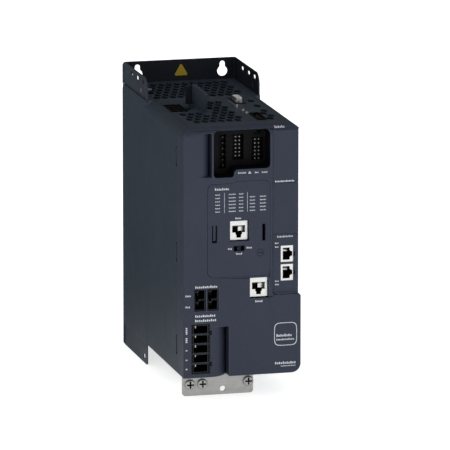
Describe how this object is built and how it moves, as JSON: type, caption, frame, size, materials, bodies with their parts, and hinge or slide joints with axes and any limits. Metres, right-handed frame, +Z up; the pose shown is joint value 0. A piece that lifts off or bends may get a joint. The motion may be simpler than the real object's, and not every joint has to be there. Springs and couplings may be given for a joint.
{
  "type": "servo drive",
  "caption": "Upright book-style servo drive with connector bay, display panel, network jacks, plug-in power headers, meshed top, finned heatsink with fan, and keyhole back plate.",
  "frame": {"origin": "on the floor, under the centre of the bounding box", "axes": "+X right, +Y towards the wall it is fixed to, +Z up; the front faces -Y"},
  "size_m": [0.11, 0.2346, 0.27],
  "materials": {
    "chassis_paint": "matt",
    "heatsink_aluminium": "black anodised",
    "galvanised_steel": "zinc plated",
    "zinc_screw": "zinc plated",
    "hood_plastic": "satin",
    "cover_plastic": "satin",
    "black_plastic": "satin",
    "connector_black": "satin",
    "grey_plastic": "satin",
    "white_plastic": "satin",
    "clear_plastic": "clear, polished",
    "tinned_contact": "tin plated",
    "gold_contact": "gold flash",
    "sticker_yellow": "plain film",
    "board_green": "solder resist",
    "capacitor_sleeve": "shrink sleeve",
    "choke_core": "enamelled winding",
    "module_resin": "moulded resin"
  },
  "bodies": {
    "drive": {"back_plate": "chassis_paint", "ear_clip": "zinc_screw", "earth_strip": "tinned_contact", "heatsink": "heatsink_aluminium", "ground_bracket": "galvanised_steel", "ground_screws": "zinc_screw", "housing_shell": "hood_plastic", "top_grille": "hood_plastic", "partition_fin": "hood_plastic", "fan_guard": "hood_plastic", "fan_frame": "black_plastic", "front_cover": "cover_plastic", "connector_tray": "black_plastic", "relay_header": "connector_black", "control_cover": "cover_plastic", "selector_switch_body": "black_plastic", "safety_slot_cover": "cover_plastic", "encoder_slot_cover": "cover_plastic", "ethernet_module": "cover_plastic", "dc_bus_sockets": "connector_black", "dc_bus_blades": "tinned_contact", "motor_header": "connector_black", "motor_header_blades": "tinned_contact", "mains_tray": "cover_plastic", "mains_header": "connector_black", "mains_header_blades": "tinned_contact", "encoder_port_shell": "tinned_contact", "encoder_port_insert": "white_plastic", "encoder_port_pins": "gold_contact", "port_screws": "zinc_screw", "sensor_header": "connector_black", "sensor_header_pins": "gold_contact", "light_pipes": "clear_plastic", "triangle_sticker": "sticker_yellow", "module_screws": "zinc_screw", "power_board": "board_green", "board_posts": "zinc_screw", "dc_capacitors": "capacitor_sleeve", "filter_choke": "choke_core", "control_board": "board_green", "ribbon_cable": "grey_plastic", "relay_header_pins": "tinned_contact", "io_header_middle": "connector_black", "io_header_middle_pins": "tinned_contact", "io_header_right": "connector_black", "io_header_right_pins": "gold_contact", "inverter_module": "module_resin", "rectifier_module": "module_resin", "hmi_jack_shield": "tinned_contact", "hmi_jack_insert": "black_plastic", "hmi_jack_contacts": "gold_contact", "fieldbus_jack_shield": "tinned_contact", "fieldbus_jack_insert": "black_plastic", "fieldbus_jack_contacts": "gold_contact", "ethernet_jack_shields": "tinned_contact", "ethernet_jack_inserts": "black_plastic", "ethernet_jack_contacts": "gold_contact"},
    "fan": {"fan_rotor": "black_plastic"},
    "selector": {"selector_knob": "black_plastic"},
    "lock": {"panel_lock": "cover_plastic"}
  },
  "joints": [
    {"name": "fan_spin", "type": "hinge", "parent": "drive", "child": "fan", "pos_m": [0, 0.07375, 0.039], "axis": [0, 0, 1], "continuous": true},
    {"name": "selector_slide", "type": "slide", "parent": "drive", "child": "selector", "axis": [1, 0, 0], "range_m": [-0.0025, 0.0025]},
    {"name": "panel_lock_turn", "type": "hinge", "parent": "drive", "child": "lock", "pos_m": [0.0165, -0.11325, 0.1339], "axis": [0, 1, 0], "range_deg": [0, 90]}
  ]
}
